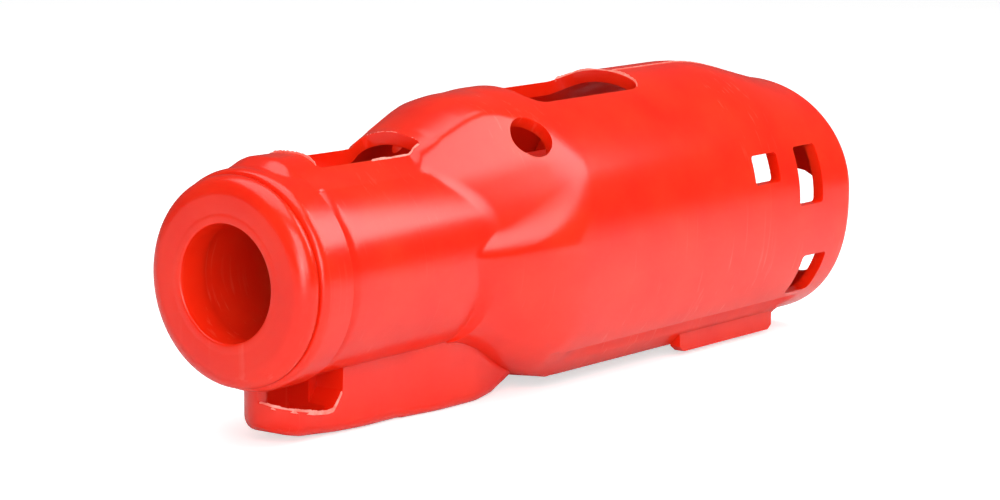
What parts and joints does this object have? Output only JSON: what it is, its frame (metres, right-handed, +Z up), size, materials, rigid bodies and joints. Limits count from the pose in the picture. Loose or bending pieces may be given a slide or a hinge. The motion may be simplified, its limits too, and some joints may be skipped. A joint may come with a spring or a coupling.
{
  "type": "fire hose nozzle",
  "caption": "Red moulded hose nozzle casing with a twist nose, a squeeze trigger valve and a threaded hose inlet inside its open-ended shell.",
  "frame": {"origin": "centre of the footprint, on the surface that the nozzle stands on", "axes": "+X along the waterway from the outlet to the hose inlet, +Y to the left seen from the hose end, +Z up"},
  "size_m": [0.212, 0.063, 0.0739],
  "materials": {
    "casing_red": "glossy soft moulded plastic",
    "trigger_red": "glossy moulded plastic",
    "red_anodised": "satin red anodised",
    "brass": "machined",
    "bright_steel": "machined",
    "seal_rubber": "smooth rubber"
  },
  "bodies": {
    "casing": {"casing": "casing_red", "barrel": "red_anodised", "barrel_seal": "seal_rubber", "stop_pin": "bright_steel", "lock_screws": "bright_steel", "front_circlip": "bright_steel", "swirl_disc": "brass", "valve_body": "red_anodised", "return_spring": "bright_steel", "seat_plug": "brass", "seat_washer": "seal_rubber", "seat_screw": "bright_steel", "trigger_pin": "bright_steel", "inlet_coupling": "brass", "coupling_seal": "seal_rubber", "inlet_strainer": "bright_steel", "inlet_gasket": "seal_rubber", "support_bracket": "casing_red"},
    "nose": {"nose_ring": "casing_red", "jet_tube": "casing_red", "jet_tube_seal": "seal_rubber", "shutter_disc": "brass"},
    "trigger": {"trigger": "trigger_red"},
    "slide": {"slide_tube": "brass", "slide_seals": "seal_rubber", "drive_pins": "bright_steel"}
  },
  "joints": [
    {"name": "nose_twist", "type": "hinge", "parent": "casing", "child": "nose", "pos_m": [-0.1, 0, 0.038], "axis": [1, 0, 0], "range_deg": [0, 30]},
    {"name": "trigger_squeeze", "type": "hinge", "parent": "casing", "child": "trigger", "pos_m": [-0.01, 0, 0.016], "axis": [0, -1, 0], "range_deg": [0, 10]},
    {"name": "slide_open", "type": "slide", "parent": "casing", "child": "slide", "axis": [-1, 0, 0], "range_m": [0, 0.00384], "stiffness_N_per_m": 3100, "springref_m": -0.0022, "deforming": ["return_spring"]}
  ],
  "couplings": [
    {"joint": "trigger_squeeze", "follows": "slide_open", "rad_per_m": 45.455}
  ]
}
